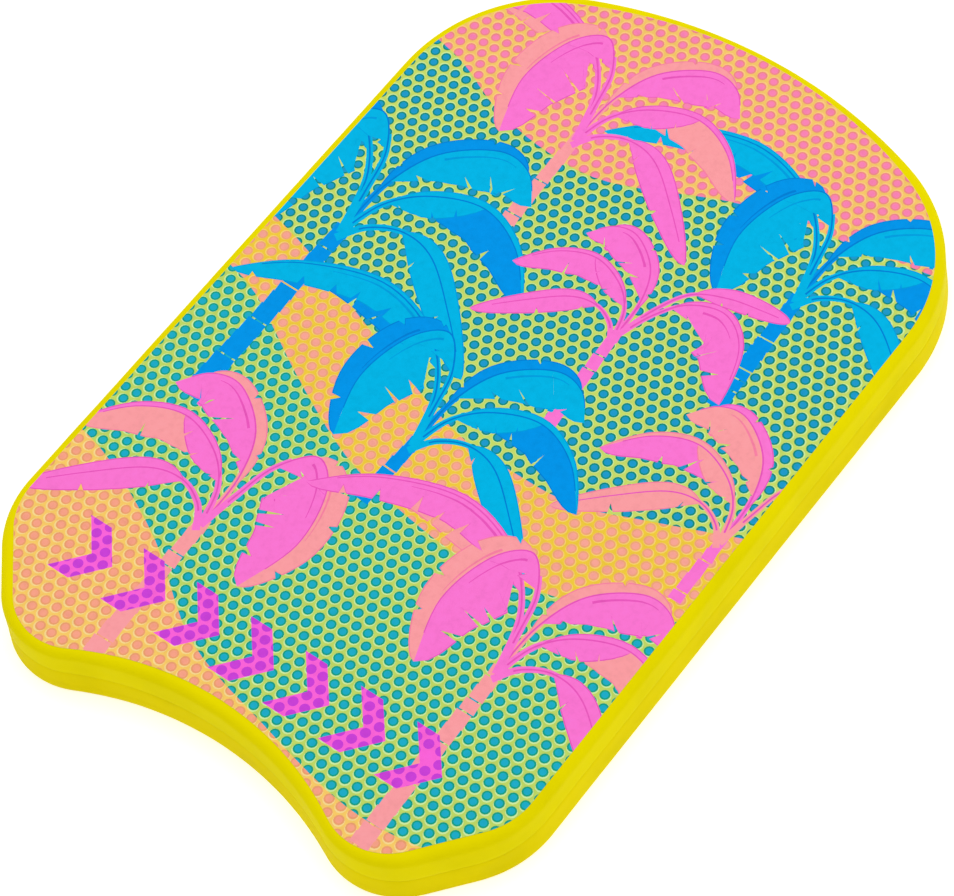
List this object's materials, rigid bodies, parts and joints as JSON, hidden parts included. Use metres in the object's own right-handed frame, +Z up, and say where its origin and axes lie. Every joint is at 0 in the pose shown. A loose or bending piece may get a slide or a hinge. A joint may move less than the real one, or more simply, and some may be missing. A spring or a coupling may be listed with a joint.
{
  "type": "kickboard float",
  "caption": "Flat swimming kickboard of bonded foam sheets with a broad arched nose, angled tail corners and a concave tail notch, printed on the deck.",
  "frame": {"origin": "middle of the board's outline, on the underside that it rests on", "axes": "+Y along the length towards the nose, +X across the width to the right, +Z up out of the printed deck"},
  "size_m": [0.29, 0.44, 0.0302],
  "materials": {
    "foam": "soft satin closed-cell EVA foam",
    "bond": "translucent adhesive film",
    "print": "flexible satin transfer ink in several colours"
  },
  "bodies": {
    "root": {"lower_foam_sheet": "foam", "bond_layer": "bond", "upper_foam_sheet": "foam", "deck_print_film": "print"}
  },
  "joints": []
}
